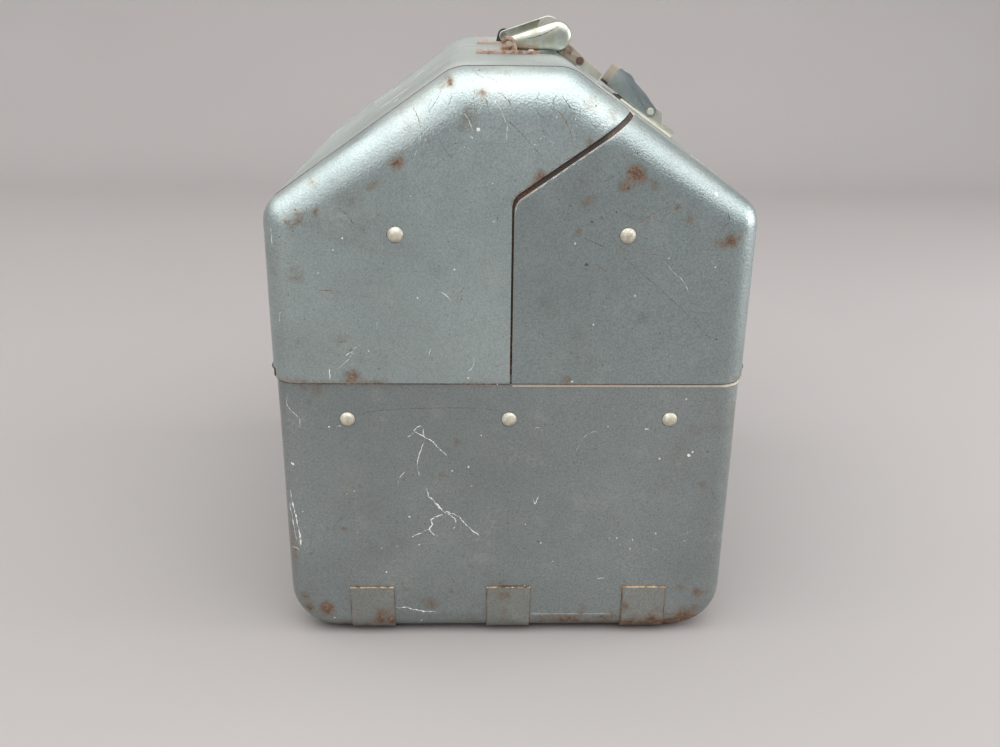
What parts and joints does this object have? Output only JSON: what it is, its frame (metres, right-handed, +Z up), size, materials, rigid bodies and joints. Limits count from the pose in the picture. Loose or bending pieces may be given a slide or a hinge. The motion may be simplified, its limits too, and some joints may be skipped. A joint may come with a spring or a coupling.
{
  "type": "hip-roof steel carrying case",
  "caption": "Hip-roof pressed-steel carrying case with two side-hinged lids, cantilever trays, floor skids, swing handle and draw latch.",
  "frame": {"origin": "on the floor under the middle of the case", "axes": "+X across the width towards the lid with the latch, +Y along the length towards the rear end, +Z up"},
  "size_m": [0.2584, 0.3164, 0.337],
  "materials": {
    "enamel_tub": "grey-green hammered enamel, chipped and rusty at the corners",
    "enamel_lids": "grey-green hammered enamel, worn bright and rusty along the bends",
    "inner_enamel": "plain grey-green enamel, lightly marked",
    "skid_steel": "grey-green paint worn to brown rust at the edges",
    "rusty_steel": "thin brown rust over bare steel",
    "hinge_steel": "painted with the case, dark and rusty at the knuckles",
    "zinc_steel": "dull zinc plating with stains",
    "handle_nickel": "polished nickel plating, yellowed and scratched",
    "arm_steel": "plain zinc-plated strip",
    "rivet_aluminium": "cream-white domed rivets"
  },
  "bodies": {
    "case": {"base_tub": "enamel_tub", "skid_left": "skid_steel", "skid_middle": "skid_steel", "skid_right": "skid_steel", "centre_partition": "inner_enamel", "partition_flanges": "inner_enamel", "partition_rivets": "rivet_aluminium", "arm_pivot_rivets": "rivet_aluminium", "base_hinge_leaf_left": "hinge_steel", "base_hinge_leaf_right": "hinge_steel", "hinge_wire_left": "zinc_steel", "hinge_wire_right": "zinc_steel"},
    "left_lid": {"left_roof": "enamel_lids", "left_front_cap": "enamel_lids", "left_rear_cap": "enamel_lids", "left_hinge_leaf": "hinge_steel", "handle_strap_front": "rusty_steel", "handle_strap_rear": "rusty_steel", "strap_rivets": "rusty_steel", "handle_pins": "zinc_steel", "strike_bracket": "rusty_steel", "strike_pin": "zinc_steel", "left_tray_rivets": "rivet_aluminium"},
    "right_lid": {"right_roof": "enamel_lids", "right_front_cap": "enamel_lids", "right_rear_cap": "enamel_lids", "right_lip": "rusty_steel", "right_hinge_leaf": "hinge_steel", "latch_base": "zinc_steel", "latch_rivets": "zinc_steel", "latch_pivot_pin": "zinc_steel", "right_tray_rivets": "rivet_aluminium"},
    "carry_handle": {"handle": "handle_nickel"},
    "lever": {"latch_lever": "zinc_steel", "claw_pin": "zinc_steel"},
    "claw": {"latch_claw": "zinc_steel"},
    "tongue": {"hasp_tongue": "zinc_steel"},
    "left_arms": {"left_arm_front": "arm_steel", "left_arm_rear": "arm_steel", "left_arm_pins": "rivet_aluminium"},
    "right_arms": {"right_arm_front": "arm_steel", "right_arm_rear": "arm_steel", "right_arm_pins": "rivet_aluminium"},
    "left_tray_unit": {"left_tray": "inner_enamel", "left_tray_dividers": "inner_enamel"},
    "right_tray_unit": {"right_tray": "inner_enamel", "right_tray_dividers": "inner_enamel"}
  },
  "joints": [
    {"name": "left_lid_hinge", "type": "hinge", "parent": "case", "child": "left_lid", "pos_m": [-0.1265, 0, 0.1612], "axis": [0, -1, 0], "range_deg": [0, 90]},
    {"name": "right_lid_hinge", "type": "hinge", "parent": "case", "child": "right_lid", "pos_m": [0.1265, 0, 0.1612], "axis": [0, 1, 0], "range_deg": [0, 90]},
    {"name": "left_arm_pivot", "type": "hinge", "parent": "case", "child": "left_arms", "pos_m": [-0.087, 0, 0.13755], "axis": [0, -1, 0], "range_deg": [0, 90]},
    {"name": "right_arm_pivot", "type": "hinge", "parent": "case", "child": "right_arms", "pos_m": [0.087, 0, 0.13755], "axis": [0, 1, 0], "range_deg": [0, 90]},
    {"name": "left_tray_pivot", "type": "hinge", "parent": "left_lid", "child": "left_tray_unit", "pos_m": [-0.0585, 0, 0.239], "axis": [0, -1, 0], "range_deg": [-90, 0]},
    {"name": "right_tray_pivot", "type": "hinge", "parent": "right_lid", "child": "right_tray_unit", "pos_m": [0.0585, 0, 0.239], "axis": [0, 1, 0], "range_deg": [-90, 0]},
    {"name": "handle_swing", "type": "hinge", "parent": "left_lid", "child": "carry_handle", "pos_m": [0, 0, 0.3244], "axis": [0, -1, 0], "range_deg": [0, 160]},
    {"name": "latch_lever_pivot", "type": "hinge", "parent": "right_lid", "child": "lever", "pos_m": [0.07919, 0, 0.29095], "axis": [0, -1, 0], "range_deg": [0, 90]},
    {"name": "latch_claw_pivot", "type": "hinge", "parent": "lever", "child": "claw", "pos_m": [0.08877, 0, 0.28388], "axis": [0, -1, 0], "range_deg": [-112.5, 0]},
    {"name": "tongue_pivot", "type": "hinge", "parent": "left_lid", "child": "tongue", "pos_m": [0.04446, 0, 0.31318], "axis": [0, -1, 0], "range_deg": [0, 90]}
  ],
  "couplings": [
    {"joint": "right_lid_hinge", "follows": "left_lid_hinge", "ratio": 1},
    {"joint": "left_arm_pivot", "follows": "left_lid_hinge", "ratio": 1},
    {"joint": "right_arm_pivot", "follows": "left_lid_hinge", "ratio": 1},
    {"joint": "left_tray_pivot", "follows": "left_lid_hinge", "ratio": -1},
    {"joint": "right_tray_pivot", "follows": "left_lid_hinge", "ratio": -1},
    {"joint": "latch_claw_pivot", "follows": "latch_lever_pivot", "ratio": -1.25}
  ]
}
